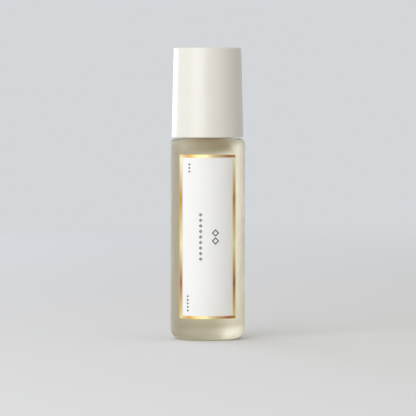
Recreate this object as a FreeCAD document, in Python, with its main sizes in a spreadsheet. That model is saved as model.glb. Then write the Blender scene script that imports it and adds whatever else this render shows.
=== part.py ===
# Roll-on perfume bottle: a glass bottle with a steel roller ball in a press-in housing, a two-piece
# screw cap with a sealing liner, and a wrapped paper label with a foil border.
# Millimetres, +Z up, origin at the middle of the foot, label facing -Y.

import FreeCAD
import Part
import Sketcher
import math
import os
import re

# Driving sizes, each written once, for the cells of the sheet.
SIZES = {
    # Glass bottle
    "body_diameter": 21.0,
    "body_height": 56.7,  # foot to the flat of the shoulder
    "glass_wall": 2.4,
    "glass_floor": 3.5,
    "glass_shoulder": 3.4,
    "foot_radius": 3.0,
    "shoulder_radius": 1.6,
    "cavity_foot_radius": 2.4,
    "cavity_shoulder_radius": 1.2,
    "punt_diameter": 11.0,  # shallow dish under the foot
    "punt_depth": 0.6,
    "neck_height": 9.0,
    "neck_wall": 1.5,
    "neck_root_radius": 0.4,
    "neck_lip_radius": 0.3,
    # Screw thread of the neck and the cap
    "thread_pitch": 3.0,
    "thread_depth": 0.8,
    "thread_crest": 0.6,  # width of the ridge at its crest
    "thread_flank": 0.55,  # width of each sloping side
    "thread_sink": 0.2,  # how deep the ridge's root lies in its wall
    "thread_start": 3.1,  # shoulder to the middle of the ridge's lower end
    "thread_lip_margin": 1.6,  # middle of the ridge's upper end to the neck's lip
    "thread_clearance": 0.2,  # crest to opposite root, radially
    "thread_flank_gap": 0.15,  # between the flanks that bear, along the axis
    # Roller ball and its housing
    "ball_diameter": 8.6,
    "ball_clearance": 0.08,
    "ball_seat_depth": 1.2,  # underside of the ball below the neck's lip
    "lip_rise": 1.7,  # holding lip above the ball's middle
    "cup_wall": 0.8,
    "cup_chamfer": 0.4,
    "flange_thickness": 1.0,
    "flange_inset": 0.2,
    "plug_length": 7.0,
    "plug_fit": 0.15,
    "plug_wall": 0.9,
    "plug_lead": 0.5,
    "seal_rib_count": 3,
    "seal_rib_width": 0.6,
    "seal_rib_spacing": 1.5,
    "seal_rib_fit": 0.02,
    "feed_diameter": 4.6,
    "seat_web": 1.0,
    # Cap shell, threaded insert and liner
    "cap_gap": 0.3,  # shoulder to the cap's rim
    "cap_height": 25.3,
    "cap_inset": 0.37,  # cap's rim inside the bottle's side
    "cap_taper": 0.62,  # radius lost from rim to crown
    "cap_edge_radius": 0.45,
    "cap_rim_radius": 0.15,
    "shell_wall": 1.3,
    "shell_top": 1.5,
    "insert_recess": 0.6,
    "insert_fit": 0.05,
    "insert_wall": 0.9,
    "insert_rib_count": 24,
    "insert_rib_height": 0.25,
    "insert_rib_width": 0.7,
    "neck_headroom": 0.5,
    "dome_wall": 0.7,
    "dome_clearance": 0.2,
    "liner_thickness": 1.6,
    "liner_overhang": 0.4,
    "liner_fit": 0.05,
    "seal_gap": 0.1,  # liner to the top of the ball
    # Label and its foil border
    "label_width": 17.5,  # along the curve
    "label_level": 6.2,
    "label_top_margin": 4.5,  # below the flat of the shoulder
    "label_thickness": 0.1,
    "label_glue": 0.03,
    "foil_side": 1.0,  # width of the upright bars, along the curve
    "foil_level": 0.78,  # width of the level bars
    "foil_thickness": 0.04,
    "foil_glue": 0.02,
    # Perfume
    "fill_film": 0.05,  # between the perfume and the glass
}

# Radii and levels that follow from the driving sizes, from the outside of the cap inwards to the neck's
# bore, then from the ball outwards to the cap's dome.
RELATIONS = {
    "body_radius": "body_diameter / 2",
    "punt_radius": "punt_diameter / 2",
    "cavity_radius": "body_radius - glass_wall",
    "cavity_top": "body_height - glass_shoulder",
    "rim_radius": "body_radius - cap_inset",
    "crown_radius": "rim_radius - cap_taper",
    "rim_level": "body_height + cap_gap",
    "crown_level": "rim_level + cap_height",
    "shell_bore": "rim_radius - shell_wall",
    "shell_ceiling": "crown_level - shell_top",
    "insert_radius": "shell_bore - insert_fit - insert_rib_height",
    "thread_root": "insert_radius - insert_wall",
    "crest_radius": "thread_root - thread_clearance",
    "neck_radius": "crest_radius - thread_depth",
    "neck_top": "body_height + neck_height",
    "bore_radius": "neck_radius - neck_wall",
    "thread_level": "body_height + thread_start",
    "thread_rise": "neck_height - thread_start - thread_lip_margin",
    "thread_half_root": "thread_crest / 2 + thread_flank",
    "thread_slope": "thread_flank / (thread_depth + thread_sink)",
    "thread_offset": "thread_crest + thread_slope * (thread_depth - thread_clearance) + thread_flank_gap",
    "plug_radius": "bore_radius - plug_fit",
    "plug_bore": "plug_radius - plug_wall",
    "plug_level": "neck_top - plug_length",
    "rib_radius": "bore_radius - seal_rib_fit",
    "ball_radius": "ball_diameter / 2",
    "ball_level": "neck_top + ball_radius - ball_seat_depth",
    "ball_top": "ball_level + ball_radius",
    "socket_radius": "ball_radius + ball_clearance",
    "cup_radius": "socket_radius + cup_wall",
    "cup_top": "ball_level + lip_rise",
    "lip_opening": "sqrt(socket_radius ^ 2 - lip_rise ^ 2)",
    "feed_radius": "feed_diameter / 2",
    "seat_level": "ball_level - sqrt(socket_radius ^ 2 - feed_radius ^ 2)",
    "web_level": "seat_level - seat_web",
    "flange_radius": "max(neck_radius - flange_inset; cup_radius + cup_chamfer)",
    "flange_top": "neck_top + flange_thickness",
    "liner_radius": "cup_radius + liner_overhang",
    "liner_level": "ball_top + seal_gap",
    "liner_top": "liner_level + liner_thickness",
    "pocket_radius": "liner_radius + liner_fit",
    "dome_radius": "pocket_radius + dome_wall",
    "dome_top": "liner_top + dome_wall",
    "crown_bore": "max(crown_radius - shell_wall; dome_radius + dome_clearance)",
    "step_level": "flange_top + neck_headroom",
    "insert_shoulder": "step_level + insert_wall",
    "insert_level": "rim_level + insert_recess",
    "label_radius": "body_radius + label_glue",
    "label_face": "label_radius + label_thickness",
    "label_top": "body_height - label_top_margin",
    "foil_radius": "label_face + foil_glue",
    "foil_face": "foil_radius + foil_thickness",
    "fill_radius": "cavity_radius - fill_film",
    "fill_floor": "glass_floor + fill_film",
    "fill_level": "cavity_top - fill_film",
}

SHEET = "Sizes"
TOLERANCE = 1e-4
FULL_TURN = 360.0
COUNTER_CLOCKWISE = 1
CLOCKWISE = -1
WORD = re.compile(r"[A-Za-z_]\w*")

doc = FreeCAD.newDocument("RollOnBottle")


def make_sheet():
    sheet = doc.addObject("Spreadsheet::Sheet", SHEET)
    for row, (alias, size) in enumerate(SIZES.items(), start=1):
        sheet.set(f"A{row}", alias)
        sheet.set(f"B{row}", str(size))
        sheet.setAlias(f"B{row}", alias)
    doc.recompute()
    return sheet


def expression(text):
    """The formula over the sheet's cells that a text of sizes and relations stands for."""

    def spelled_out(match):
        word = match.group(0)
        if word in RELATIONS:
            return "(" + expression(RELATIONS[word]) + ")"
        return f"{SHEET}.{word}" if word in SIZES else word

    return WORD.sub(spelled_out, text)


def value(text):
    found = sheet.evalExpression(expression(text))
    return float(getattr(found, "Value", found))


def bind(feature, **formulas):
    for name, text in formulas.items():
        feature.setExpression(name.replace("__", "."), expression(text))


def new_body(label):
    body = doc.addObject("PartDesign::Body", label)
    body.Label = label
    return body


def new_sketch(body, name, plane):
    sketch = body.newObject("Sketcher::SketchObject", name)
    origin_plane = next(f for f in body.Origin.OriginFeatures if f.Role == plane)
    sketch.AttachmentSupport = [(origin_plane, "")]
    sketch.MapMode = "FlatFace"
    return sketch


def arc_between(first, last, radius, turn):
    """Arc from first to last about a centre on the left of the way for a counter-clockwise turn."""
    chord = last - first
    rise = math.sqrt(max(radius**2 - chord.Length**2 / 4, 0.0))
    left = FreeCAD.Vector(-chord.y, chord.x, 0).normalize()
    centre = (first + last) / 2 + left * rise * turn
    ends = (first, last) if turn == COUNTER_CLOCKWISE else (last, first)
    angles = [math.atan2(p.y - centre.y, p.x - centre.x) for p in ends]
    return Part.ArcOfCircle(Part.Circle(centre, FreeCAD.Vector(0, 0, 1), radius), *angles)


def pin_point(sketch, geometry, end, x, y):
    """Holds one end of a piece of geometry at formulas x and y from the sketch's origin."""
    for axis, kind, text in ((-2, "DistanceX", x), (-1, "DistanceY", y)):
        if text == "0":
            sketch.addConstraint(Sketcher.Constraint("PointOnObject", geometry, end, axis))
            continue
        number = sketch.addConstraint(Sketcher.Constraint(kind, -1, 1, geometry, end, value(text)))
        sketch.setExpression(f"Constraints[{number}]", expression(text))


def half_section(body, name, corners, plane="XZ_Plane"):
    """Closed outline through corners (x, y), each joined to the next by a line, or by an arc where the
    corner also gives a radius and a turn."""
    sketch = new_sketch(body, name, plane)
    points = [FreeCAD.Vector(value(c[0]), value(c[1]), 0) for c in corners]
    starts = []
    for number, corner in enumerate(corners):
        first, last = points[number], points[(number + 1) % len(points)]
        if len(corner) == 2:
            sketch.addGeometry(Part.LineSegment(first, last), False)
            starts.append(1)
        else:
            radius, turn = corner[2:]
            sketch.addGeometry(arc_between(first, last, value(radius), turn), False)
            starts.append(1 if turn == COUNTER_CLOCKWISE else 2)
    for number, corner in enumerate(corners):
        after = (number + 1) % len(corners)
        meeting = Sketcher.Constraint("Coincident", number, 3 - starts[number], after, starts[after])
        sketch.addConstraint(meeting)
        pin_point(sketch, number, starts[number], corner[0], corner[1])
        if len(corner) > 2:
            rule = sketch.addConstraint(Sketcher.Constraint("Radius", number, value(corner[2])))
            sketch.setExpression(f"Constraints[{rule}]", expression(corner[2]))
    return sketch


def revolve(body, name, corners, angle=None, kind="PartDesign::Revolution"):
    """Turns an outline about Z, all the way round or through an angle centred on the outline."""
    sketch = half_section(body, name + "Outline", corners)
    turned = body.newObject(kind, name)
    turned.Profile = sketch
    turned.ReferenceAxis = (sketch, ["V_Axis"])
    turned.Angle = FULL_TURN
    if angle:
        turned.Midplane = True
        bind(turned, Angle=angle)
    doc.recompute()
    return turned


def round_edge(body, name, radius, place):
    """Rounds the circular edge at (radius from the axis, level)."""
    base = body.Tip
    reach, level = value(place[0]), value(place[1])
    for number, edge in enumerate(base.Shape.Edges, start=1):
        if edge.Degenerated or not isinstance(edge.Curve, Part.Circle):
            continue
        circle = edge.Curve
        if abs(circle.Radius - reach) < TOLERANCE and abs(circle.Center.z - level) < TOLERANCE:
            break
    else:
        raise RuntimeError(f"{body.Label} has no edge at {place}")
    fillet = body.newObject("PartDesign::Fillet", name)
    fillet.Base = (base, [f"Edge{number}"])
    bind(fillet, Radius=radius)
    doc.recompute()


def thread_ridge(body, name, root, crest, level):
    """Screw ridge of the shared pitch, from its root radius to its crest radius, starting at a level."""
    corners = [
        (root, f"{level} - thread_half_root"),
        (crest, f"{level} - thread_crest / 2"),
        (crest, f"{level} + thread_crest / 2"),
        (root, f"{level} + thread_half_root"),
    ]
    sketch = half_section(body, name + "Section", corners)
    ridge = body.newObject("PartDesign::AdditiveHelix", name)
    ridge.Profile = sketch
    ridge.ReferenceAxis = (sketch, ["V_Axis"])
    ridge.Mode = "pitch-height-angle"
    bind(ridge, Pitch="thread_pitch", Height="thread_rise")
    doc.recompute()


def glass_bottle():
    body = new_body("glass_bottle")
    punt_curve = "(punt_radius ^ 2 + punt_depth ^ 2) / (2 * punt_depth)"
    outline = [
        ("0", "punt_depth", punt_curve, CLOCKWISE),
        ("punt_radius", "0"),
        ("body_radius", "0"),
        ("body_radius", "body_height"),
        ("neck_radius", "body_height"),
        ("neck_radius", "neck_top"),
        ("bore_radius", "neck_top"),
        ("bore_radius", "cavity_top"),
        ("cavity_radius", "cavity_top"),
        ("cavity_radius", "glass_floor"),
        ("0", "glass_floor"),
    ]
    revolve(body, "Glass", outline)
    round_edge(body, "Foot", "foot_radius", ("body_radius", "0"))
    round_edge(body, "Shoulder", "shoulder_radius", ("body_radius", "body_height"))
    round_edge(body, "NeckRoot", "neck_root_radius", ("neck_radius", "body_height"))
    round_edge(body, "NeckLip", "neck_lip_radius", ("neck_radius", "neck_top"))
    round_edge(body, "CavityFoot", "cavity_foot_radius", ("cavity_radius", "glass_floor"))
    round_edge(body, "CavityShoulder", "cavity_shoulder_radius", ("cavity_radius", "cavity_top"))
    thread_ridge(body, "NeckThread", "neck_radius - thread_sink", "crest_radius", "thread_level")
    return body


def ball_housing():
    body = new_body("ball_housing")
    outline = [
        ("plug_bore", "plug_level"),
        ("plug_radius - plug_lead", "plug_level"),
        ("plug_radius", "plug_level + plug_lead"),
    ]
    for number in range(SIZES["seal_rib_count"]):
        middle = f"plug_level + plug_lead + {number + 1} * seal_rib_spacing"
        outline += [
            ("plug_radius", f"{middle} - seal_rib_width / 2"),
            ("rib_radius", middle),
            ("plug_radius", f"{middle} + seal_rib_width / 2"),
        ]
    outline += [
        ("plug_radius", "neck_top"),
        ("flange_radius", "neck_top"),
        ("flange_radius", "flange_top"),
        ("cup_radius", "flange_top"),
        ("cup_radius", "cup_top - cup_chamfer"),
        ("cup_radius - cup_chamfer", "cup_top"),
        ("lip_opening", "cup_top", "socket_radius", CLOCKWISE),
        ("feed_radius", "seat_level"),
        ("feed_radius", "web_level"),
        ("plug_bore", "web_level"),
    ]
    revolve(body, "Housing", outline)
    return body


def roller_ball():
    ball = doc.addObject("Part::Sphere", "roller_ball")
    bind(ball, Radius="ball_radius", Placement__Base__z="ball_level")
    return ball


def perfume_fill():
    body = new_body("perfume_fill")
    outline = [
        ("0", "fill_floor"),
        ("fill_radius", "fill_floor"),
        ("fill_radius", "fill_level"),
        ("0", "fill_level"),
    ]
    revolve(body, "Perfume", outline)
    round_edge(body, "PerfumeFoot", "cavity_foot_radius - fill_film", ("fill_radius", "fill_floor"))
    round_edge(body, "PerfumeShoulder", "cavity_shoulder_radius - fill_film", ("fill_radius", "fill_level"))
    return body


def cap_shell():
    body = new_body("cap_shell")
    outline = [
        ("shell_bore", "rim_level"),
        ("rim_radius", "rim_level"),
        ("crown_radius", "crown_level"),
        ("0", "crown_level"),
        ("0", "shell_ceiling"),
        ("crown_bore", "shell_ceiling"),
        ("crown_bore", "insert_shoulder"),
        ("shell_bore", "insert_shoulder"),
    ]
    revolve(body, "Shell", outline)
    round_edge(body, "Crown", "cap_edge_radius", ("crown_radius", "crown_level"))
    round_edge(body, "Rim", "cap_rim_radius", ("rim_radius", "rim_level"))
    return body


def cap_insert():
    body = new_body("cap_insert")
    outline = [
        ("thread_root", "insert_level"),
        ("insert_radius", "insert_level"),
        ("insert_radius", "insert_shoulder"),
        ("dome_radius", "insert_shoulder"),
        ("dome_radius", "dome_top"),
        ("0", "dome_top"),
        ("0", "liner_top"),
        ("pocket_radius", "liner_top"),
        ("pocket_radius", "step_level"),
        ("thread_root", "step_level"),
    ]
    revolve(body, "Insert", outline)
    grip_ribs(body)
    cap_level = "thread_level - thread_offset"
    thread_ridge(body, "CapThread", "thread_root + thread_sink", "neck_radius + thread_clearance", cap_level)
    return body


def grip_ribs(body):
    """Upright ribs round the insert that grip the shell's bore."""
    root = "insert_radius - insert_rib_height"
    crest = "insert_radius + insert_rib_height"
    corners = [
        (root, "-insert_rib_width / 2"),
        (crest, "-insert_rib_width / 4"),
        (crest, "insert_rib_width / 4"),
        (root, "insert_rib_width / 2"),
    ]
    sketch = half_section(body, "RibSection", corners, "XY_Plane")
    bind(sketch, AttachmentOffset__Base__z="insert_level")
    rib = body.newObject("PartDesign::Pad", "Rib")
    rib.Profile = sketch
    bind(rib, Length="insert_shoulder - insert_level")
    doc.recompute()
    ring = body.newObject("PartDesign::PolarPattern", "RibRing")
    ring.Originals = [rib]
    ring.Axis = (sketch, ["N_Axis"])
    ring.Angle = FULL_TURN
    bind(ring, Occurrences="insert_rib_count")
    body.Tip = ring
    doc.recompute()


def cap_liner():
    liner = doc.addObject("Part::Cylinder", "cap_liner")
    bind(liner, Radius="liner_radius", Height="liner_thickness", Placement__Base__z="liner_level")
    return liner


def face_front(body):
    """Turns a piece drawn on +X so that it faces -Y."""
    body.Placement = FreeCAD.Placement(FreeCAD.Vector(), FreeCAD.Rotation(FreeCAD.Vector(0, 0, 1), -90))


def curved_strip(inner, outer, low, high):
    return [(inner, low), (outer, low), (outer, high), (inner, high)]


def wrap_angle(width):
    return f"({width}) / label_radius * 180 / pi"


def label_paper():
    body = new_body("label_paper")
    strip = curved_strip("label_radius", "label_face", "label_level", "label_top")
    revolve(body, "Paper", strip, wrap_angle("label_width"))
    face_front(body)
    return body


def label_foil_border():
    body = new_body("label_foil_border")
    strip = curved_strip("foil_radius", "foil_face", "label_level", "label_top")
    revolve(body, "Foil", strip, wrap_angle("label_width"))
    cut = curved_strip(
        "foil_radius - foil_glue / 2",
        "foil_face + foil_glue",
        "label_level + foil_level",
        "label_top - foil_level",
    )
    revolve(body, "Window", cut, wrap_angle("label_width - 2 * foil_side"), "PartDesign::Groove")
    face_front(body)
    return body


def check(pieces):
    for item in doc.Objects:
        if "Invalid" in item.State or "Error" in item.State:
            raise RuntimeError(f"{item.Label} failed: {item.State}")
    for piece in pieces:
        if piece.Shape.isNull() or not piece.Shape.isValid() or not piece.Shape.Solids:
            raise RuntimeError(f"{piece.Label} has no valid solid")


def write(pieces):
    os.makedirs("parts", exist_ok=True)
    for piece in pieces:
        piece.Shape.exportStep(os.path.join("parts", piece.Label + ".step"))
        box = piece.Shape.BoundBox
        print(f"{piece.Label}: {piece.Shape.Volume:.1f} mm3, z {box.ZMin:.2f} to {box.ZMax:.2f}")


sheet = make_sheet()
pieces = [
    glass_bottle(),
    ball_housing(),
    roller_ball(),
    perfume_fill(),
    cap_shell(),
    cap_insert(),
    cap_liner(),
    label_paper(),
    label_foil_border(),
]
doc.recompute()
check(pieces)
write(pieces)
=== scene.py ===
import bmesh
import bpy
import math
from mathutils import Matrix, Vector


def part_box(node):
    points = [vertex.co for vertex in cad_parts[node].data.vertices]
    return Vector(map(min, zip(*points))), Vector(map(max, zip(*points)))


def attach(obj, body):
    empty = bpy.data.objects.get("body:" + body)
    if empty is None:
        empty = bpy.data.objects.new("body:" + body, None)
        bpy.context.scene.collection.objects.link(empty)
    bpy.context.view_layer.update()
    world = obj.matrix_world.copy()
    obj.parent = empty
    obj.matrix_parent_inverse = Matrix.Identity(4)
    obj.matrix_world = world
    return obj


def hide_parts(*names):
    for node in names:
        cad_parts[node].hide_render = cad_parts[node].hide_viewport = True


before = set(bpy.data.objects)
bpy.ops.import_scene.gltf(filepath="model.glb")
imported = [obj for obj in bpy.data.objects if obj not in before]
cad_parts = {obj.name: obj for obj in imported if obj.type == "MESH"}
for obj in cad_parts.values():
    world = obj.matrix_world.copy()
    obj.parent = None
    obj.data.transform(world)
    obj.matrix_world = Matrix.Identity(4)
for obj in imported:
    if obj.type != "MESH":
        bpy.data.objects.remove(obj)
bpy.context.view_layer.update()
mm = 0.001
print("frame loaded:", ", ".join(sorted(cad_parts)))


def linear(hexColour):
    parts = [int(hexColour[i:i + 2], 16) / 255 for i in (1, 3, 5)]
    return [c / 12.92 if c <= 0.04045 else ((c + 0.055) / 1.055) ** 2.4 for c in parts] + [1.0]


# links and values are keyed by the input's name, or by its number where names repeat
def addNode(tree, kind, links=None, values=None, **settings):
    node = tree.nodes.new(kind)
    for name, setting in settings.items():
        setattr(node, name, setting)
    for socket, value in (values or {}).items():
        node.inputs[socket].default_value = value
    for socket, source in (links or {}).items():
        tree.links.new(source, node.inputs[socket])
    return node


def newMaterial(name, **values):
    material = bpy.data.materials.new(name)
    material.use_nodes = True
    shader = material.node_tree.nodes["Principled BSDF"]
    for socket, value in values.items():
        shader.inputs[socket.replace("_", " ")].default_value = value
    return material, material.node_tree, shader


def feed(tree, shader, **sources):
    for socket, source in sources.items():
        tree.links.new(source, shader.inputs[socket.replace("_", " ")])


# Outlines of turned pieces: corners are (radius, level, rounding), the outside running upwards

turning = {
    "segments": 256,
    "arcStep": math.radians(9),
    "support": 0.12 * mm,  # extra point beside each arc, so that its shading stays off the flats
    "supportRoom": 4,  # times that length, which a flat has to pass to get the extra points
    "pathRadius": 20 * mm,  # of the circle that an outline is swept along
    "mergeDistance": 0.001 * mm,
    "wallTolerance": 0.01 * mm,  # within which a point counts as lying on the threaded wall
    "sharpAngle": math.radians(32),
}


def roundedOutline(corners):
    points = []
    for i, (radius, level, rounding) in enumerate(corners):
        here = Vector((radius, level))
        if not rounding:
            points.append(here)
            continue
        toLast = (Vector(corners[i - 1][:2]) - here).normalized()
        toNext = (Vector(corners[(i + 1) % len(corners)][:2]) - here).normalized()
        half = toLast.angle(toNext) / 2
        centre = here + (toLast + toNext).normalized() * rounding / math.sin(half)
        spoke = here + toLast * rounding / math.tan(half) - centre
        sweep = math.copysign(math.pi - 2 * half, toLast.y * toNext.x - toLast.x * toNext.y)
        steps = max(2, round(abs(sweep) / turning["arcStep"]))
        points += [centre + Matrix.Rotation(sweep * k / steps, 2) @ spoke for k in range(steps + 1)]
    return points


def supported(points, closed):
    ends = points[1:] + points[:1] if closed else points[1:]
    result = []
    for start, end in zip(points, ends):
        result.append(start)
        run = end - start
        if run.length > turning["supportRoom"] * turning["support"]:
            step = run.normalized() * turning["support"]
            result += [start + step, end - step]
    return result if closed else result + points[-1:]


# Rows close enough to carry a thread, on the wall of that radius
def withRows(points, wallRadius, spacing):
    result = points[:1]
    for start, end in zip(points, points[1:]):
        onWall = max(abs(start.x - wallRadius), abs(end.x - wallRadius)) < turning["mergeDistance"]
        rows = round((end - start).length / spacing) if onWall else 1
        result += [start.lerp(end, k / rows) for k in range(1, rows)] + [end]
    return result


def arcPoints(centre, radius, fromAngle, toAngle):
    steps = max(2, round(abs(toAngle - fromAngle) / turning["arcStep"]))
    angles = [fromAngle + (toAngle - fromAngle) * k / steps for k in range(steps + 1)]
    return [Vector((centre[0] + radius * math.cos(a), centre[1] + radius * math.sin(a))) for a in angles]


# Sweeps an outline round the axis and raises a screw thread on the wall of radius Thread Wall
def makeTurnedTree():
    tree = bpy.data.node_groups.new("turnedWall", "GeometryNodeTree")
    tree.interface.new_socket("Outline", in_out="INPUT", socket_type="NodeSocketGeometry")
    tree.interface.new_socket("Segments", in_out="INPUT", socket_type="NodeSocketInt")
    for name in ("Path Radius", "Merge Distance", "Thread Wall", "Thread Depth", "Thread Start",
                 "Thread Pitch", "Thread Turns", "Thread Crest", "Thread Root", "Thread Fade"):
        tree.interface.new_socket(name, in_out="INPUT", socket_type="NodeSocketFloat")
    tree.interface.new_socket("Material", in_out="INPUT", socket_type="NodeSocketMaterial")
    tree.interface.new_socket("Geometry", in_out="OUTPUT", socket_type="NodeSocketGeometry")
    given = addNode(tree, "NodeGroupInput").outputs
    outline = addNode(tree, "GeometryNodeMeshToCurve", {"Mesh": given["Outline"]})
    circle = addNode(tree, "GeometryNodeCurvePrimitiveCircle",
                     {"Resolution": given["Segments"], "Radius": given["Path Radius"]})
    swept = addNode(tree, "GeometryNodeCurveToMesh",
                    {"Curve": circle.outputs["Curve"], "Profile Curve": outline.outputs["Curve"]})
    merged = addNode(tree, "GeometryNodeMergeByDistance",
                     {"Geometry": swept.outputs["Mesh"], "Distance": given["Merge Distance"]})

    position = addNode(tree, "GeometryNodeInputPosition").outputs["Position"]
    point = addNode(tree, "ShaderNodeSeparateXYZ", {"Vector": position}).outputs
    flat = addNode(tree, "ShaderNodeCombineXYZ", {"X": point["X"], "Y": point["Y"]})
    radius = addNode(tree, "ShaderNodeVectorMath", {0: flat.outputs[0]}, operation="LENGTH")
    outwards = addNode(tree, "ShaderNodeVectorMath", {0: flat.outputs[0]}, operation="NORMALIZE")
    onWall = addNode(tree, "ShaderNodeMath", {0: radius.outputs["Value"], 1: given["Thread Wall"]},
                     {2: turning["wallTolerance"]}, operation="COMPARE")

    # turns of the thread at the point's bearing, counted to the one nearest in height
    bearing = addNode(tree, "ShaderNodeMath", {0: point["Y"], 1: point["X"]}, operation="ARCTAN2")
    share = addNode(tree, "ShaderNodeMath", {0: bearing.outputs[0]}, {1: math.tau}, operation="DIVIDE")
    turn = addNode(tree, "ShaderNodeMath", {0: share.outputs[0]}, operation="FRACT")
    height = addNode(tree, "ShaderNodeMath", {0: point["Z"], 1: given["Thread Start"]},
                     operation="SUBTRACT")
    pitches = addNode(tree, "ShaderNodeMath", {0: height.outputs[0], 1: given["Thread Pitch"]},
                      operation="DIVIDE")
    lag = addNode(tree, "ShaderNodeMath", {0: pitches.outputs[0], 1: turn.outputs[0]},
                  operation="SUBTRACT")
    wholeTurns = addNode(tree, "ShaderNodeMath", {0: lag.outputs[0]}, operation="ROUND")
    turns = addNode(tree, "ShaderNodeMath", {0: turn.outputs[0], 1: wholeTurns.outputs[0]},
                    operation="ADD")

    # the thread stands full between its flanks and runs out over a fade at either end
    off = addNode(tree, "ShaderNodeMath", {0: lag.outputs[0], 1: wholeTurns.outputs[0]},
                  operation="SUBTRACT")
    offHeight = addNode(tree, "ShaderNodeMath", {0: off.outputs[0], 1: given["Thread Pitch"]},
                        operation="MULTIPLY")
    away = addNode(tree, "ShaderNodeMath", {0: offHeight.outputs[0]}, operation="ABSOLUTE")
    flank = addNode(tree, "ShaderNodeMapRange",
                    {"Value": away.outputs[0], "From Min": given["Thread Root"],
                     "From Max": given["Thread Crest"]}, interpolation_type="SMOOTHSTEP")
    leadIn = addNode(tree, "ShaderNodeMapRange",
                     {"Value": turns.outputs[0], "From Max": given["Thread Fade"]},
                     interpolation_type="SMOOTHSTEP")
    left = addNode(tree, "ShaderNodeMath", {0: given["Thread Turns"], 1: turns.outputs[0]},
                   operation="SUBTRACT")
    leadOut = addNode(tree, "ShaderNodeMapRange",
                      {"Value": left.outputs[0], "From Max": given["Thread Fade"]},
                      interpolation_type="SMOOTHSTEP")
    rise = given["Thread Depth"]
    for factor in (onWall.outputs[0], flank.outputs["Result"], leadIn.outputs["Result"],
                   leadOut.outputs["Result"]):
        rise = addNode(tree, "ShaderNodeMath", {0: rise, 1: factor}, operation="MULTIPLY").outputs[0]
    push = addNode(tree, "ShaderNodeVectorMath", {0: outwards.outputs["Vector"], "Scale": rise},
                   operation="SCALE")
    threaded = addNode(tree, "GeometryNodeSetPosition",
                       {"Geometry": merged.outputs["Geometry"], "Offset": push.outputs["Vector"]})
    real = addNode(tree, "GeometryNodeRealizeInstances", {"Geometry": threaded.outputs["Geometry"]})
    dressed = addNode(tree, "GeometryNodeSetMaterial",
                      {"Geometry": real.outputs["Geometry"], "Material": given["Material"]})
    addNode(tree, "NodeGroupOutput", {"Geometry": dressed.outputs["Geometry"]})
    return tree


def setInputs(modifier, values):
    for item in modifier.node_group.interface.items_tree:
        if item.in_out == "INPUT" and item.name in values:
            modifier[item.identifier] = values[item.name]


# Turns an object's modifiers into a plain mesh with its faces outwards
def settle(piece):
    bpy.context.view_layer.update()
    evaluated = piece.evaluated_get(bpy.context.evaluated_depsgraph_get())
    mesh = bpy.data.meshes.new_from_object(evaluated)
    piece.modifiers.clear()
    shape = bmesh.new()
    shape.from_mesh(mesh)
    if shape.calc_volume(signed=True) < 0:
        bmesh.ops.reverse_faces(shape, faces=shape.faces)
    shape.to_mesh(mesh)
    shape.free()
    mesh.name = piece.name
    mesh.shade_smooth()
    mesh.set_sharp_from_angle(angle=turning["sharpAngle"])
    piece.data = mesh
    return piece


def newPiece(name, vertices, edges=(), faces=()):
    mesh = bpy.data.meshes.new(name)
    mesh.from_pydata(vertices, edges, faces)
    piece = bpy.data.objects.new(name, mesh)
    bpy.context.scene.collection.objects.link(piece)
    return piece


turnedTree = makeTurnedTree()
# A plain wall: the thread has no depth, and nothing is divided by nought
noThread = {"Thread Pitch": 1.0, "Thread Root": 1.0, "Thread Fade": 1.0}


def turnedPiece(name, points, material, thread=noThread, closed=False):
    wire = [(p.x - turning["pathRadius"], -p.y, 0) for p in points]
    edges = [(i, i + 1) for i in range(len(wire) - 1)] + ([(len(wire) - 1, 0)] if closed else [])
    piece = newPiece(name, wire, edges)
    modifier = piece.modifiers.new("turned", "NODES")
    modifier.node_group = turnedTree
    setInputs(modifier, {
        "Segments": turning["segments"], "Path Radius": turning["pathRadius"],
        "Merge Distance": turning["mergeDistance"], "Material": material, **thread,
    })
    return settle(piece)


def place(piece, body, node):
    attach(piece, body)
    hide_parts(node)
    print(f"{piece.name}: {len(piece.data.vertices)} points, stands for {node}")


# Screw thread that the neck and the cap share
screw = {
    "pitch": 3.0 * mm,
    "depth": 0.8 * mm,
    "rise": 4.3 * mm,
    "crestHalf": 0.3 * mm,
    "rootHalf": 0.74 * mm,
    "fade": 0.07,  # turns over which an end runs out
    "rowSpacing": 0.1 * mm,
}


def threadInputs(wall, start, direction):
    return {
        "Thread Wall": wall, "Thread Start": start, "Thread Depth": direction * screw["depth"],
        "Thread Pitch": screw["pitch"], "Thread Turns": screw["rise"] / screw["pitch"],
        "Thread Crest": screw["crestHalf"], "Thread Root": screw["rootHalf"], "Thread Fade": screw["fade"],
    }


# Glass bottle
bottle = {
    "shoulderLevel": 56.7 * mm,
    "wall": 2.4 * mm,
    "floor": 3.5 * mm,
    "shoulder": 3.4 * mm,
    "footRounding": 3.0 * mm,
    "shoulderRounding": 1.6 * mm,
    "cavityFoot": 2.4 * mm,
    "cavityShoulder": 1.2 * mm,
    "puntRadius": 5.5 * mm,  # of the shallow dish under the foot
    "puntDepth": 0.6 * mm,
    "puntSteps": 8,
    "neckRadius": 6.63 * mm,
    "neckWall": 1.5 * mm,
    "neckRoot": 0.4 * mm,
    "neckLip": 0.3 * mm,
    "boreRounding": 0.5 * mm,
    "threadStart": 59.8 * mm,
    "cavitySpare": 0.05 * mm,  # within which a face counts as part of the cavity's wall
    "tint": "#E5DABC",
    "neckTint": "#F5F4EE",
    "tintFade": 1.5 * mm,  # above and below the shoulder
    "index": 1.5,
    "transmission": 0.92,
    "bloom": "#FFF6E4",
    "bloomWeight": 0.35,
    "bloomRoughness": 0.25,
    "roughness": (0.54, 0.64),
    "etchPatch": 5.0 * mm,  # over which the roughness drifts
    "etchGrain": 0.25 * mm,  # real pits are some hundredths of a millimetre; coarser here so that they show
    "pitStrength": 0.25,
    "pitDepth": 0.02 * mm,
    "clear": "#FFFFFF",
    "overPerfume": 1.06,  # index of the glass over that of the perfume
}
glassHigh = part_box("glass_bottle")[1]
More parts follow.
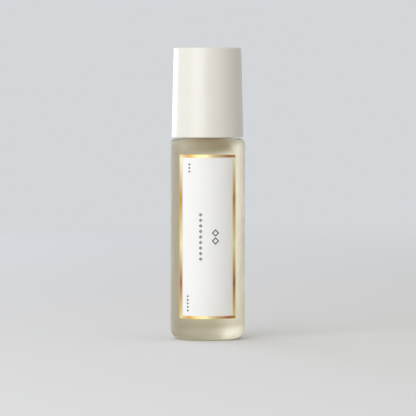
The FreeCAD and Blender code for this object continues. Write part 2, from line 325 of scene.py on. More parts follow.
fillLow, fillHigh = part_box("perfume_fill")
bodyRadius = glassHigh.x
cavityRadius = bodyRadius - bottle["wall"]
cavityTop = bottle["shoulderLevel"] - bottle["shoulder"]
boreRadius = bottle["neckRadius"] - bottle["neckWall"]


# Soda-lime glass, blown in a mould and dipped in acid: the etched skin scatters light, so the wall is
# milky and shows only soft shapes
def etchedGlass():
    material, tree, shader = newMaterial(
        "acidEtchedGlass", IOR=bottle["index"], Transmission_Weight=bottle["transmission"],
        Sheen_Weight=bottle["bloomWeight"], Sheen_Roughness=bottle["bloomRoughness"],
        Sheen_Tint=linear(bottle["bloom"]))
    where = addNode(tree, "ShaderNodeTexCoord").outputs["Object"]
    level = addNode(tree, "ShaderNodeSeparateXYZ", {"Vector": where})
    upNeck = addNode(tree, "ShaderNodeMapRange", {"Value": level.outputs["Z"]},
                     {"From Min": bottle["shoulderLevel"] - bottle["tintFade"],
                      "From Max": bottle["shoulderLevel"] + bottle["tintFade"]},
                     interpolation_type="SMOOTHSTEP")
    tint = addNode(tree, "ShaderNodeMix", {"Factor": upNeck.outputs["Result"]},
                   {"A": linear(bottle["tint"]), "B": linear(bottle["neckTint"])}, data_type="RGBA")
    patches = addNode(tree, "ShaderNodeTexNoise", {"Vector": where},
                      {"Scale": 1 / bottle["etchPatch"], "Detail": 2.0})
    low, high = bottle["roughness"]
    haze = addNode(tree, "ShaderNodeMapRange", {"Value": patches.outputs["Fac"]},
                   {"To Min": low, "To Max": high})
    grain = addNode(tree, "ShaderNodeTexNoise", {"Vector": where},
                    {"Scale": 1 / bottle["etchGrain"], "Detail": 3.0})
    pits = addNode(tree, "ShaderNodeBump", {"Height": grain.outputs["Fac"]},
                   {"Strength": bottle["pitStrength"], "Distance": bottle["pitDepth"]})
    feed(tree, shader, Base_Color=tint.outputs["Result"], Roughness=haze.outputs["Result"],
         Normal=pits.outputs["Normal"])
    return material


# The same glass with perfume against it: the two bend light nearly alike, so the face hardly shows
def wettedGlass():
    return newMaterial("wettedGlass", Base_Color=linear(bottle["clear"]), IOR=bottle["overPerfume"],
                       Roughness=0.0, Transmission_Weight=1.0)[0]


def makeBottle():
    puntCurve = (bottle["puntRadius"] ** 2 + bottle["puntDepth"] ** 2) / (2 * bottle["puntDepth"])
    punt = []
    for k in range(bottle["puntSteps"]):
        radius = bottle["puntRadius"] * k / bottle["puntSteps"]
        sag = puntCurve - math.sqrt(puntCurve ** 2 - radius ** 2)
        punt.append(Vector((radius, bottle["puntDepth"] - sag)))
    wall = roundedOutline([
        (bottle["puntRadius"], 0, 0),
        (bodyRadius, 0, bottle["footRounding"]),
        (bodyRadius, bottle["shoulderLevel"], bottle["shoulderRounding"]),
        (bottle["neckRadius"], bottle["shoulderLevel"], bottle["neckRoot"]),
        (bottle["neckRadius"], glassHigh.z, bottle["neckLip"]),
        (boreRadius, glassHigh.z, bottle["neckLip"]),
        (boreRadius, cavityTop, bottle["boreRounding"]),
        (cavityRadius, cavityTop, bottle["cavityShoulder"]),
        (cavityRadius, bottle["floor"], bottle["cavityFoot"]),
        (0, bottle["floor"], 0),
    ])
    points = withRows(supported(punt + wall, False), bottle["neckRadius"], screw["rowSpacing"])
    thread = threadInputs(bottle["neckRadius"], bottle["threadStart"], 1)
    piece = turnedPiece("frostedBottle", points, etchedGlass(), thread)
    piece.data.materials.append(wettedGlass())
    spare = bottle["cavitySpare"]
    for face in piece.data.polygons:
        inRound = face.center.xy.length < cavityRadius + spare
        if inRound and bottle["floor"] - spare < face.center.z < cavityTop + spare:
            face.material_index = 1  # the wetted glass
    place(piece, "bottle", "glass_bottle")


# Perfume
perfume = {
    "footRounding": 2.35 * mm,
    "shoulderRounding": 1.15 * mm,
    "surfaceGap": 0.08 * mm,  # from the neck's bore
    "meniscusRise": 0.35 * mm,
    "meniscusReach": 1.1 * mm,
    "meniscusSteps": 8,
    "facesUp": 0.2,  # least upward share of a face's normal on the free surface
    "clear": "#FFFFFF",
    "absorbs": "#FBF4D2",
    "density": 16.0,
    "wallIndex": 1.0,  # the wetted glass already does the bending there
    "surfaceIndex": 1.42,
}


# Perfume in a light carrier oil: clear and straw-coloured, and deeper in tint where more of it lies behind
def perfumeOil(name, index):
    material, tree, _ = newMaterial(name, Base_Color=linear(perfume["clear"]), IOR=index, Roughness=0.0,
                                    Transmission_Weight=1.0)
    tint = addNode(tree, "ShaderNodeVolumeAbsorption",
                   values={"Color": linear(perfume["absorbs"]), "Density": perfume["density"]})
    tree.links.new(tint.outputs["Volume"], tree.nodes["Material Output"].inputs["Volume"])
    return material


def makePerfume():
    surfaceRadius = boreRadius - perfume["surfaceGap"]
    rise = perfume["meniscusRise"]
    points = roundedOutline([
        (0, fillLow.z, 0),
        (fillHigh.x, fillLow.z, perfume["footRounding"]),
        (fillHigh.x, fillHigh.z, perfume["shoulderRounding"]),
        (surfaceRadius, fillHigh.z, 0),
        (surfaceRadius, fillHigh.z + rise, 0),
    ])
    for k in range(1, perfume["meniscusSteps"] + 1):  # the skin climbs the glass of the neck
        share = k / perfume["meniscusSteps"]
        level = fillHigh.z + rise * (1 - share) ** 2
        points.append(Vector((surfaceRadius - perfume["meniscusReach"] * share, level)))
    points.append(Vector((0, fillHigh.z)))
    body = perfumeOil("perfumeAgainstGlass", perfume["wallIndex"])
    piece = turnedPiece("perfumeFill", supported(points, False), body)
    piece.data.materials.append(perfumeOil("perfumeSurface", perfume["surfaceIndex"]))
    for face in piece.data.polygons:
        if face.center.xy.length < surfaceRadius and face.normal.z > perfume["facesUp"]:
            face.material_index = 1  # the free surface
    place(piece, "bottle", "perfume_fill")


makeBottle()
makePerfume()


# Moulded plastic: the melt's flow leaves faint clouds of colour and gloss, and the skin is not quite even
def mouldedPlastic(name, piece, **values):
    material, tree, shader = newMaterial(name, **values)
    where = addNode(tree, "ShaderNodeTexCoord").outputs["Object"]
    flow = addNode(tree, "ShaderNodeTexNoise", {"Vector": where},
                   {"Scale": 1 / piece["flowWidth"], "Detail": piece["flowDetail"]})
    light, dark = piece["colours"]
    colour = addNode(tree, "ShaderNodeMix", {"Factor": flow.outputs["Fac"]},
                     {"A": linear(light), "B": linear(dark)}, data_type="RGBA")
    low, high = piece["roughness"]
    gloss = addNode(tree, "ShaderNodeMapRange", {"Value": flow.outputs["Fac"]},
                    {"To Min": low, "To Max": high})
    skin = addNode(tree, "ShaderNodeTexNoise", {"Vector": where},
                   {"Scale": 1 / piece["skinWidth"], "Detail": piece["skinDetail"]})
    bump = addNode(tree, "ShaderNodeBump", {"Height": skin.outputs["Fac"]},
                   {"Strength": piece["skinStrength"], "Distance": piece["skinDepth"]})
    feed(tree, shader, Base_Color=colour.outputs["Result"], Roughness=gloss.outputs["Result"],
         Normal=bump.outputs["Normal"])
    return material


# Ball housing
housing = {
    "plugRadius": 4.98 * mm,
    "plugBore": 4.08 * mm,
    "plugLead": 0.5 * mm,
    "ribCount": 3,
    "ribWidth": 0.6 * mm,
    "ribSpacing": 1.5 * mm,
    "ribRadius": 5.11 * mm,
    "flangeThickness": 1.0 * mm,
    "cupRadius": 5.18 * mm,
    "cupRounding": 0.4 * mm,
    "ballClearance": 0.08 * mm,
    "feedRadius": 2.3 * mm,
    "seatWeb": 1.0 * mm,
    "edge": 0.15 * mm,
    "colours": ("#ECEDE8", "#DFE1DA"),
    "roughness": (0.3, 0.42),
    "flowWidth": 1.4 * mm,
    "flowDetail": 3.0,
    "skinWidth": 1.4 * mm,
    "skinDetail": 3.0,
    "skinStrength": 0.2,
    "skinDepth": 0.05 * mm,
}
housingLow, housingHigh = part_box("ball_housing")
ballLow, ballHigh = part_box("roller_ball")
ballRadius = (ballHigh.z - ballLow.z) / 2
ballLevel = (ballHigh.z + ballLow.z) / 2


# Natural low-density polyethylene, injection moulded: waxy, and light seeps through its thin edges
def waxyPlastic():
    return mouldedPlastic("naturalPolyethylene", housing, IOR=1.51, Subsurface_Weight=0.45,
                          Subsurface_Scale=1.2 * mm, Subsurface_Radius=(1.0, 0.95, 0.85))


def makeHousing():
    edge = housing["edge"]
    neckTop = glassHigh.z
    plug = [
        (housing["plugBore"], housingLow.z, edge),
        (housing["plugRadius"] - housing["plugLead"], housingLow.z, edge),
        (housing["plugRadius"], housingLow.z + housing["plugLead"], edge),
    ]
    for number in range(1, housing["ribCount"] + 1):
        middle = housingLow.z + housing["plugLead"] + number * housing["ribSpacing"]
        plug += [
            (housing["plugRadius"], middle - housing["ribWidth"] / 2, 0),
            (housing["ribRadius"], middle, edge),
            (housing["plugRadius"], middle + housing["ribWidth"] / 2, 0),
        ]
    cup = [
        (housing["plugRadius"], neckTop, 0),
        (housingHigh.x, neckTop, edge),
        (housingHigh.x, neckTop + housing["flangeThickness"], 2 * edge),
        (housing["cupRadius"], neckTop + housing["flangeThickness"], 2 * edge),
        (housing["cupRadius"], housingHigh.z, housing["cupRounding"]),
    ]
    socketRadius = ballRadius + housing["ballClearance"]
    lipAngle = math.asin((housingHigh.z - ballLevel) / socketRadius)
    seatAngle = -math.acos(housing["feedRadius"] / socketRadius)
    socket = [(p.x, p.y, 0) for p in arcPoints((0, ballLevel), socketRadius, lipAngle, seatAngle)]
    webLevel = socket[-1][1] - housing["seatWeb"]
    feedHole = [(housing["feedRadius"], webLevel, edge), (housing["plugBore"], webLevel, edge)]
    outline = roundedOutline(plug + cup + socket + feedHole)
    piece = turnedPiece("ballHousing", supported(outline, True), waxyPlastic(), closed=True)
    place(piece, "bottle", "ball_housing")


# Roller ball
ball = {
    "colour": "#C6C8CB",
    "lapWidth": 0.35 * mm,  # lapping marks, drawn coarser than real ones so that they show
    "lapStretch": 14.0,
    "lapStrength": 0.08,
    "lapDepth": 0.01 * mm,
    "roughness": (0.06, 0.15),
}


# Stainless steel, ground and lapped: a mirror with a faint haze of fine marks
def lappedSteel():
    material, tree, shader = newMaterial("lappedStainlessSteel", Base_Color=linear(ball["colour"]),
                                         Metallic=1.0)
    where = addNode(tree, "ShaderNodeTexCoord").outputs["Object"]
    drawn = addNode(tree, "ShaderNodeMapping", {"Vector": where},
                    {"Scale": (1.0, ball["lapStretch"], ball["lapStretch"])})
    marks = addNode(tree, "ShaderNodeTexNoise", {"Vector": drawn.outputs["Vector"]},
                    {"Scale": 1 / (ball["lapWidth"] * ball["lapStretch"]), "Detail": 4.0})
    low, high = ball["roughness"]
    haze = addNode(tree, "ShaderNodeMapRange", {"Value": marks.outputs["Fac"]},
                   {"To Min": low, "To Max": high})
    bump = addNode(tree, "ShaderNodeBump", {"Height": marks.outputs["Fac"]},
                   {"Strength": ball["lapStrength"], "Distance": ball["lapDepth"]})
    feed(tree, shader, Roughness=haze.outputs["Result"], Normal=bump.outputs["Normal"])
    return material


def makeBall():
    points = arcPoints((0, ballLevel), ballRadius, -math.pi / 2, math.pi / 2)
    points[0].x = points[-1].x = 0
    place(turnedPiece("rollerBall", points, lappedSteel()), "ball", "roller_ball")


makeHousing()
makeBall()


# Cap shell
cap = {
    "taper": 0.62 * mm,
    "crownRounding": 0.45 * mm,
    "rimRounding": 0.15 * mm,
    "wall": 1.3 * mm,
    "top": 1.5 * mm,
    "stepLevel": 68.1 * mm,
    "innerRounding": 0.3 * mm,
    "colours": ("#ECE8DF", "#E7E3D8"),
    "roughness": (0.3, 0.38),
    "coat": 0.2,
    "coatRoughness": 0.3,
    "flowWidth": 9.0 * mm,
    "flowDetail": 3.0,
    "skinWidth": 0.6 * mm,
    "skinDetail": 1.0,
    "skinStrength": 0.05,
    "skinDepth": 0.01 * mm,
}
capLow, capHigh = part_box("cap_shell")


# Cream ABS, injection moulded in a polished mould: softly glossy, with the faintest orange peel
def glossyCream():
    return mouldedPlastic("glossyCreamAbs", cap, IOR=1.53, Coat_Weight=cap["coat"],
                          Coat_Roughness=cap["coatRoughness"])


def makeCap():
    rimRadius = capHigh.x
    crownRadius = rimRadius - cap["taper"]
    bore = rimRadius - cap["wall"]
    crownBore = crownRadius - cap["wall"]
    ceiling = capHigh.z - cap["top"]
    outline = roundedOutline([
        (0, ceiling, 0),
        (crownBore, ceiling, cap["innerRounding"]),
        (crownBore, cap["stepLevel"], 0),
        (bore, cap["stepLevel"], 0),
        (bore, capLow.z, cap["rimRounding"]),
        (rimRadius, capLow.z, cap["rimRounding"]),
        (crownRadius, capHigh.z, cap["crownRounding"]),
        (0, capHigh.z, 0),
    ])
    piece = turnedPiece("capShell", supported(outline, False), glossyCream())
    place(piece, "cap", "cap_shell")


# Threaded insert
insert = {
    "wall": 0.9 * mm,
    "ribCount": 24,
    "ribHeight": 0.25 * mm,
    "ribWidth": 0.7 * mm,
    "ribCrest": 0.35 * mm,
    "shoulderLevel": 68.1 * mm,
    "stepLevel": 67.2 * mm,
    "threadStart": 58.72 * mm,
    "pocketRadius": 5.63 * mm,
    "domeWall": 0.7 * mm,
    "edge": 0.2 * mm,
    "colours": ("#F2F2EE", "#E9E9E4"),
    "roughness": (0.36, 0.5),
    "flowWidth": 2.5 * mm,
    "flowDetail": 4.0,
    "skinWidth": 2.5 * mm,
    "skinDetail": 4.0,
    "skinStrength": 0.15,
    "skinDepth": 0.05 * mm,
}
insertLow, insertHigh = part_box("cap_insert")


# White polypropylene, injection moulded: satin, and a little milky
def satinWhite():
    return mouldedPlastic("whitePolypropylene", insert, IOR=1.49, Subsurface_Weight=0.2,
                          Subsurface_Scale=0.6 * mm, Subsurface_Radius=(1.0, 0.95, 0.9))


# One rib, repeated round the insert
def makeRibTree():
    tree = bpy.data.node_groups.new("ribRing", "GeometryNodeTree")
    tree.interface.new_socket("Rib", in_out="INPUT", socket_type="NodeSocketGeometry")
    tree.interface.new_socket("Count", in_out="INPUT", socket_type="NodeSocketInt")
    tree.interface.new_socket("Material", in_out="INPUT", socket_type="NodeSocketMaterial")
    tree.interface.new_socket("Geometry", in_out="OUTPUT", socket_type="NodeSocketGeometry")
    given = addNode(tree, "NodeGroupInput").outputs
    spots = addNode(tree, "GeometryNodePoints", {"Count": given["Count"]})
    number = addNode(tree, "GeometryNodeInputIndex")
    step = addNode(tree, "ShaderNodeMath", {1: given["Count"]}, {0: math.tau}, operation="DIVIDE")
    angle = addNode(tree, "ShaderNodeMath", {0: number.outputs[0], 1: step.outputs[0]},
                    operation="MULTIPLY")
    turned = addNode(tree, "ShaderNodeCombineXYZ", {"Z": angle.outputs[0]})
    ring = addNode(tree, "GeometryNodeInstanceOnPoints",
                   {"Points": spots.outputs[0], "Instance": given["Rib"], "Rotation": turned.outputs[0]})
    real = addNode(tree, "GeometryNodeRealizeInstances", {"Geometry": ring.outputs[0]})
    dressed = addNode(tree, "GeometryNodeSetMaterial",
                      {"Geometry": real.outputs[0], "Material": given["Material"]})
    addNode(tree, "NodeGroupOutput", {"Geometry": dressed.outputs[0]})
    return tree


def makeRibs(material, insertRadius):
    root, crest = insertRadius - insert["ribHeight"], insertRadius + insert["ribHeight"]
    rootHalf, crestHalf = insert["ribWidth"] / 2, insert["ribCrest"] / 2
    section = [(root, -rootHalf), (crest, -crestHalf), (crest, crestHalf), (root, rootHalf)]
    vertices = [(x, y, z) for z in (insertLow.z, insert["shoulderLevel"]) for x, y in section]
    sides = len(section)
    faces = [tuple(reversed(range(sides))), tuple(range(sides, 2 * sides))]
    for i in range(sides):
        after = (i + 1) % sides
        faces.append((i, after, after + sides, i + sides))
    ribs = newPiece("insertRibs", vertices, faces=faces)
    modifier = ribs.modifiers.new("ring", "NODES")
    modifier.node_group = makeRibTree()
    setInputs(modifier, {"Count": insert["ribCount"], "Material": material})
    return settle(ribs)


def makeInsert():
    edge = insert["edge"]
    insertRadius = insertHigh.x - insert["ribHeight"]
    threadRoot = insertRadius - insert["wall"]
    domeRadius = insert["pocketRadius"] + insert["domeWall"]
    linerTop = insertHigh.z - insert["domeWall"]
    outline = roundedOutline([
        (0, linerTop, 0),
        (insert["pocketRadius"], linerTop, edge),
        (insert["pocketRadius"], insert["stepLevel"], edge),
        (threadRoot, insert["stepLevel"], edge),
        (threadRoot, insertLow.z, edge),
        (insertRadius, insertLow.z, edge),
        (insertRadius, insert["shoulderLevel"], edge),
        (domeRadius, insert["shoulderLevel"], edge),
        (domeRadius, insertHigh.z, 2 * edge),
        (0, insertHigh.z, 0),
    ])
    points = withRows(supported(outline, False), threadRoot, screw["rowSpacing"])
    material = satinWhite()
    thread = threadInputs(threadRoot, insert["threadStart"], -1)
    piece = turnedPiece("capInsert", points, material, thread)
    ribs = makeRibs(material, insertRadius)
    shape = bmesh.new()
    shape.from_mesh(piece.data)
    shape.from_mesh(ribs.data)
    shape.to_mesh(piece.data)
    shape.free()
    bpy.data.objects.remove(ribs)
    place(piece, "cap", "cap_insert")


# Liner
liner = {
    "edge": 0.25 * mm,
    "colours": ("#DEDDD7", "#F3F2EE"),  # inside a cell, and on its wall
    "roughness": 0.75,
    "cell": 0.45 * mm,
    "cellStrength": 0.5,
    "cellDepth": 0.1 * mm,
}
linerLow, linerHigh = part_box("cap_liner")


# Expanded polyethylene foam, cut from sheet: matt, with small closed cells
def cellFoam():
    material, tree, shader = newMaterial("expandedPolyethylene", IOR=1.3, Roughness=liner["roughness"])
    where = addNode(tree, "ShaderNodeTexCoord").outputs["Object"]
    cells = addNode(tree, "ShaderNodeTexVoronoi", {"Vector": where}, {"Scale": 1 / liner["cell"]},
                    feature="SMOOTH_F1")
    inside, wall = liner["colours"]
    colour = addNode(tree, "ShaderNodeMix", {"Factor": cells.outputs["Distance"]},
                     {"A": linear(inside), "B": linear(wall)}, data_type="RGBA")
    bump = addNode(tree, "ShaderNodeBump", {"Height": cells.outputs["Distance"]},
                   {"Strength": liner["cellStrength"], "Distance": liner["cellDepth"]})
    feed(tree, shader, Base_Color=colour.outputs["Result"], Normal=bump.outputs["Normal"])
    return material


def makeLiner():
    outline = roundedOutline([
        (0, linerLow.z, 0),
        (linerHigh.x, linerLow.z, liner["edge"]),
        (linerHigh.x, linerHigh.z, liner["edge"]),
        (0, linerHigh.z, 0),
    ])
    piece = turnedPiece("capLiner", supported(outline, False), cellFoam())
    place(piece, "liner", "cap_liner")


makeCap()
makeInsert()
makeLiner()


# Label
label = {
    "width": 17.5 * mm,  # along the curve
    "thickness": 0.1 * mm,
    "step": 0.25 * mm,  # along the curve between columns of points
    "colours": ("#FAF9F7", "#F5F4F1"),
    "roughness": 0.6,
    "fibre": 0.5 * mm,
    "fibreStrength": 0.1,
    "fibreDepth": 0.02 * mm,
    "ink": "#2A2826",
    # Rows of lozenges in outline: across and up are to the row's middle from the label's, half is half
    # the width and height of a lozenge, and line is the width of its line as a share of that
    "rows": (
        {"across": 2.2 * mm, "up": 0.0, "count": 2, "spacing": 2.25 * mm, "half": 1.05 * mm, "line": 0.38},
        {"across": -1.95 * mm, "up": 0.0, "count": 9, "spacing": 1.55 * mm, "half": 0.5 * mm, "line": 0.65},
        {"across": -5.3 * mm, "up": 19.3 * mm, "count": 3, "spacing": 1.0 * mm, "half": 0.34 * mm,
         "line": 0.8},
        {"across": -5.8 * mm, "up": -18.7 * mm, "count": 5, "spacing": 1.0 * mm, "half": 0.34 * mm,
         "line": 0.8},
    ),
}
labelLow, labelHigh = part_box("label_paper")
labelHeight = labelHigh.z - labelLow.z


# One where the lines of a row of lozenges run, nought elsewhere
def lozengeLines(tree, onLabel, row):
    half, pitch, line = row["half"], row["spacing"], row["line"]
    fromX = addNode(tree, "ShaderNodeMath", {0: onLabel["X"]}, {1: row["across"]}, operation="SUBTRACT")
    shareX = addNode(tree, "ShaderNodeMath", {0: fromX.outputs[0]}, {1: half}, operation="DIVIDE")
    outX = addNode(tree, "ShaderNodeMath", {0: shareX.outputs[0]}, operation="ABSOLUTE")
    fromY = addNode(tree, "ShaderNodeMath", {0: onLabel["Y"]}, {1: row["up"]}, operation="SUBTRACT")
    awayY = addNode(tree, "ShaderNodeMath", {0: fromY.outputs[0]}, operation="ABSOLUTE")
    inRow = addNode(tree, "ShaderNodeMath", {0: awayY.outputs[0]}, {1: row["count"] * pitch / 2},
                    operation="LESS_THAN")
    shift = 0 if row["count"] % 2 else pitch / 2  # an even count leaves a gap at the row's middle
    shifted = addNode(tree, "ShaderNodeMath", {0: fromY.outputs[0]}, {1: shift}, operation="ADD")
    cellY = addNode(tree, "ShaderNodeMath", {0: shifted.outputs[0]}, {1: pitch / 2, 2: -pitch / 2},
                    operation="WRAP")
    shareY = addNode(tree, "ShaderNodeMath", {0: cellY.outputs[0]}, {1: half}, operation="DIVIDE")
    outY = addNode(tree, "ShaderNodeMath", {0: shareY.outputs[0]}, operation="ABSOLUTE")
    out = addNode(tree, "ShaderNodeMath", {0: outX.outputs[0], 1: outY.outputs[0]}, operation="ADD")
    onLine = addNode(tree, "ShaderNodeMath", {0: out.outputs[0]}, {1: 1 - line / 2, 2: line / 2},
                     operation="COMPARE")
    return addNode(tree, "ShaderNodeMath", {0: onLine.outputs[0], 1: inRow.outputs[0]},
                   operation="MULTIPLY").outputs[0]


# White wood-free paper, calendered: matt, with a faint fibre, printed with a plain ornament in dark grey
def printedPaper():
    material, tree, shader = newMaterial(
        "calenderedPaper", IOR=1.4, Roughness=label["roughness"], Subsurface_Weight=0.5,
        Subsurface_Scale=0.12 * mm, Subsurface_Radius=(1.0, 0.98, 0.95))
    uv = addNode(tree, "ShaderNodeUVMap", uv_map="sheet")
    sized = addNode(tree, "ShaderNodeMapping", {"Vector": uv.outputs["UV"]},
                    {"Location": (-label["width"] / 2, -labelHeight / 2, 0),
                     "Scale": (label["width"], labelHeight, 1)})
    onLabel = addNode(tree, "ShaderNodeSeparateXYZ", {"Vector": sized.outputs["Vector"]}).outputs
    fibre = addNode(tree, "ShaderNodeTexNoise", {"Vector": sized.outputs["Vector"]},
                    {"Scale": 1 / label["fibre"], "Detail": 4.0})
    light, dark = label["colours"]
    paper = addNode(tree, "ShaderNodeMix", {"Factor": fibre.outputs["Fac"]},
                    {"A": linear(light), "B": linear(dark)}, data_type="RGBA")
    inked = paper.outputs["Result"]
    for row in label["rows"]:
        inked = addNode(tree, "ShaderNodeMix", {"Factor": lozengeLines(tree, onLabel, row), "A": inked},
                        {"B": linear(label["ink"])}, data_type="RGBA").outputs["Result"]
    bump = addNode(tree, "ShaderNodeBump", {"Height": fibre.outputs["Fac"]},
                   {"Strength": label["fibreStrength"], "Distance": label["fibreDepth"]})
    feed(tree, shader, Base_Color=inked, Normal=bump.outputs["Normal"])
    return material


# Foil border of the label
foil = {
    "thickness": 0.04 * mm,
    "sideBar": 1.0 * mm,  # widths of the bars
    "levelBar": 0.78 * mm,
    # Colours along a bar, at shares of the label's height or width: painted reflection, bands of light and
    # dark gold that stand in for what the foil mirrors
    "sideReflectionBands": ((0.02, "#F2DA8C"), (0.22, "#B9774A"), (0.45, "#FBEBAA"), (0.73, "#CB9648"),
                  (0.97, "#FBF0C6")),
    "levelReflectionBands": ((0.02, "#F8E8B2"), (0.2, "#CB9648"), (0.5, "#FBEBAA"), (0.86, "#BD7C4E"),
                   (0.98, "#CB9648")),
    "grain": 0.3 * mm,
    "grainStrength": 0.12,
    "grainDepth": 0.02 * mm,
    "roughness": (0.36, 0.46),
}
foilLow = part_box("label_foil_border")[0]


# Hot-stamped metallised foil, gold with painted reflection: bands painted from pale to copper along each
# bar, where light and dark reflections would fall
def stampedFoil():
    material, tree, shader = newMaterial("hotStampedFoil", Metallic=1.0)
    uv = addNode(tree, "ShaderNodeUVMap", uv_map="sheet")
    along = addNode(tree, "ShaderNodeSeparateXYZ", {"Vector": uv.outputs["UV"]})
    side = addNode(tree, "ShaderNodeValToRGB", {"Fac": along.outputs["Y"]})
    level = addNode(tree, "ShaderNodeValToRGB", {"Fac": along.outputs["X"]})
    for ramp, bands in ((side, foil["sideReflectionBands"]), (level, foil["levelReflectionBands"])):
        stops = ramp.color_ramp.elements
        stops.remove(stops[0])
        for number, (position, colour) in enumerate(bands):
            stop = stops.new(position) if number else stops[0]
            stop.position = position
            stop.color = linear(colour)
    middle = 0.5  # of the label's height, as a share
    fromMiddle = addNode(tree, "ShaderNodeMath", {0: along.outputs["Y"]}, {1: middle},
                         operation="SUBTRACT")
    away = addNode(tree, "ShaderNodeMath", {0: fromMiddle.outputs[0]}, operation="ABSOLUTE")
    onLevel = addNode(tree, "ShaderNodeMath", {0: away.outputs[0]},
                      {1: middle - foil["levelBar"] / labelHeight}, operation="GREATER_THAN")
    # the painted reflection bands of the side and level bars
    paintedReflectionGold = addNode(tree, "ShaderNodeMix",
                   {"Factor": onLevel.outputs[0], "A": side.outputs["Color"], "B": level.outputs["Color"]},
                   data_type="RGBA")
    where = addNode(tree, "ShaderNodeTexCoord").outputs["Object"]
    grain = addNode(tree, "ShaderNodeTexNoise", {"Vector": where},
                    {"Scale": 1 / foil["grain"], "Detail": 3.0})
    low, high = foil["roughness"]
    haze = addNode(tree, "ShaderNodeMapRange", {"Value": grain.outputs["Fac"]},
                   {"To Min": low, "To Max": high})
    bump = addNode(tree, "ShaderNodeBump", {"Height": grain.outputs["Fac"]},
                   {"Strength": foil["grainStrength"], "Distance": foil["grainDepth"]})
    feed(tree, shader, Base_Color=paintedReflectionGold.outputs["Result"], Roughness=haze.outputs["Result"],
         Normal=bump.outputs["Normal"])
    return material


# A sheet of the label's size wrapped on the bottle, whole or with a window that leaves the border's bars
def wrappedSheet(name, radius, thickness, material, window):
    half, bar = label["width"] / 2, foil["levelBar"]
    inner = half - foil["sideBar"]
    columns = round(2 * inner / label["step"])
    across = [-half] + [-inner + 2 * inner * k / columns for k in range(columns + 1)] + [half]
    up = [labelLow.z, labelLow.z + bar, labelHigh.z - bar, labelHigh.z]
    vertices, shares = [], []
    for level in up:
        for arc in across:
            angle = arc / radius
            vertices.append((radius * math.sin(angle), -radius * math.cos(angle), level))
            shares.append((arc / label["width"] + 0.5, (level - labelLow.z) / labelHeight))
    wide = len(across)
    faces = []
    for row in range(len(up) - 1):
        for column in range(wide - 1):
            if window and row == 1 and 0 < column < wide - 2:
                continue
            first = row * wide + column
            faces.append((first, first + 1, first + wide + 1, first + wide))
    sheet = newPiece(name, vertices, faces=faces)
    sheet.data.materials.append(material)
    layer = sheet.data.uv_layers.new(name="sheet")
    for loop in sheet.data.loops:
        layer.data[loop.index].uv = shares[loop.vertex_index]
    solid = sheet.modifiers.new("thickness", "SOLIDIFY")
    solid.thickness = thickness
    solid.offset = 1.0  # outwards
    return settle(sheet)


def makeLabel():
    labelRadius = -labelLow.y - label["thickness"]
    sheet = wrappedSheet("labelPaper", labelRadius, label["thickness"], printedPaper(), False)
    place(sheet, "bottle", "label_paper")


def makeFoil():
    foilRadius = -foilLow.y - foil["thickness"]
    border = wrappedSheet("foilBorder", foilRadius, foil["thickness"], stampedFoil(), True)
    place(border, "bottle", "label_foil_border")


makeLabel()
makeFoil()


# Floor, background and lamps
stage = {
    "floorHalf": 4.0,
    "floorDrop": 0.02 * mm,
    "floor": "#EDEFF1",
    "floorRoughness": 0.8,
    "fadeFrom": 0.12,  # distances over which the floor runs into the background
    "fadeTo": 0.9,
    "background": "#D4D7DA",
    "ambient": 0.35,
    "ambientColour": "#FFF5E4",
    "aim": Vector((0, 0, 42 * mm)),
    "lamps": {
        "keySoftbox": {"from": (-0.48, -0.78, 0.3), "size": (0.85, 0.8), "power": 6.3, "colour": "#F4F8FF"},
        "leftWall": {"from": (-0.95, 0.0, 0.3), "size": (1.0, 0.8), "power": 1.2, "colour": "#FFFFFF"},
        "backLeft": {"from": (-0.54, 0.74, 0.12), "size": (0.6, 0.4), "power": 4.2, "colour": "#D6E2FF"},
        "overhead": {"from": (0.0, 0.1, 1.1), "size": (1.0, 1.0), "power": 2.8, "colour": "#FFFFFF"},
    },
}


# The background as the eye, mirrors and glass see it, and a dimmer, warmer light that falls on the rest
def makeWorld():
    world = bpy.data.worlds.new("studio")
    bpy.context.scene.world = world
    world.use_nodes = True
    tree = world.node_tree
    tree.nodes.clear()
    ray = addNode(tree, "ShaderNodeLightPath")
    sight = ray.outputs["Is Camera Ray"]
    for kind in ("Is Glossy Ray", "Is Transmission Ray"):
        sight = addNode(tree, "ShaderNodeMath", {0: sight, 1: ray.outputs[kind]},
                        operation="MAXIMUM").outputs[0]
    ambient = addNode(tree, "ShaderNodeBackground",
                      values={"Color": linear(stage["ambientColour"]), "Strength": stage["ambient"]})
    seen = addNode(tree, "ShaderNodeBackground",
                   values={"Color": linear(stage["background"]), "Strength": 1.0})
    both = addNode(tree, "ShaderNodeMixShader", {0: sight, 1: ambient.outputs[0], 2: seen.outputs[0]})
    addNode(tree, "ShaderNodeOutputWorld", {"Surface": both.outputs[0]})


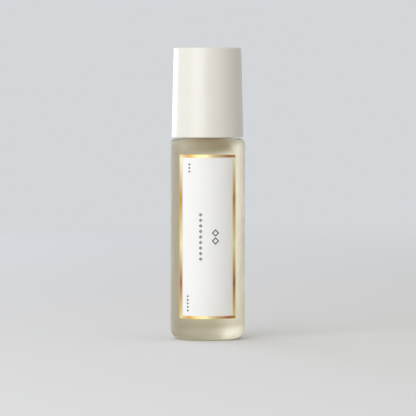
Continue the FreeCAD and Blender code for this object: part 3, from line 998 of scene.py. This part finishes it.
# Matt painted floor that runs into the background further off
def makeFloor():
    half, level = stage["floorHalf"], -stage["floorDrop"]
    corners = [(x, y, level) for x, y in ((-half, -half), (half, -half), (half, half), (-half, half))]
    floor = newPiece("floor", corners, faces=[(0, 1, 2, 3)])
    material, tree, shader = newMaterial("mattPaint", Base_Color=linear(stage["floor"]),
                                         Roughness=stage["floorRoughness"])
    where = addNode(tree, "ShaderNodeTexCoord").outputs["Object"]
    away = addNode(tree, "ShaderNodeVectorMath", {0: where}, operation="LENGTH")
    far = addNode(tree, "ShaderNodeMapRange", {"Value": away.outputs["Value"]},
                  {"From Min": stage["fadeFrom"], "From Max": stage["fadeTo"]},
                  interpolation_type="SMOOTHSTEP")
    distance = addNode(tree, "ShaderNodeEmission",
                       values={"Color": linear(stage["background"]), "Strength": 1.0})
    both = addNode(tree, "ShaderNodeMixShader",
                   {0: far.outputs["Result"], 1: shader.outputs[0], 2: distance.outputs[0]})
    tree.links.new(both.outputs[0], tree.nodes["Material Output"].inputs["Surface"])
    floor.data.materials.append(material)


def makeLamps():
    for name, lamp in stage["lamps"].items():
        light = bpy.data.lights.new(name, "AREA")
        light.shape = "RECTANGLE"
        light.size, light.size_y = lamp["size"]
        light.energy = lamp["power"]
        light.color = linear(lamp["colour"])[:3]
        fixture = bpy.data.objects.new(name, light)
        fixture.location = lamp["from"]
        fixture.rotation_euler = (stage["aim"] - fixture.location).to_track_quat("-Z", "Y").to_euler()
        bpy.context.scene.collection.objects.link(fixture)


# Camera
camera = {
    "distance": 930 * mm,
    "height": 66.7 * mm,
    "side": 0.11 * mm,
    "downTilt": math.radians(1.83),
    "lens": 284.5,
    "sensor": 36.0,
    "clipStart": 10 * mm,
}


def makeCamera():
    lens = bpy.data.cameras.new("studioCamera")
    lens.sensor_width = camera["sensor"]
    lens.lens = camera["lens"]
    lens.clip_start = camera["clipStart"]
    eye = bpy.data.objects.new("studioCamera", lens)
    eye.location = (camera["side"], -camera["distance"], camera["height"])
    eye.rotation_euler = (math.pi / 2 - camera["downTilt"], 0, 0)
    bpy.context.scene.collection.objects.link(eye)
    bpy.context.scene.camera = eye


makeWorld()
makeFloor()
makeLamps()
makeCamera()
bpy.context.scene.view_settings.view_transform = "Standard"
print("stage, lamps and camera set")
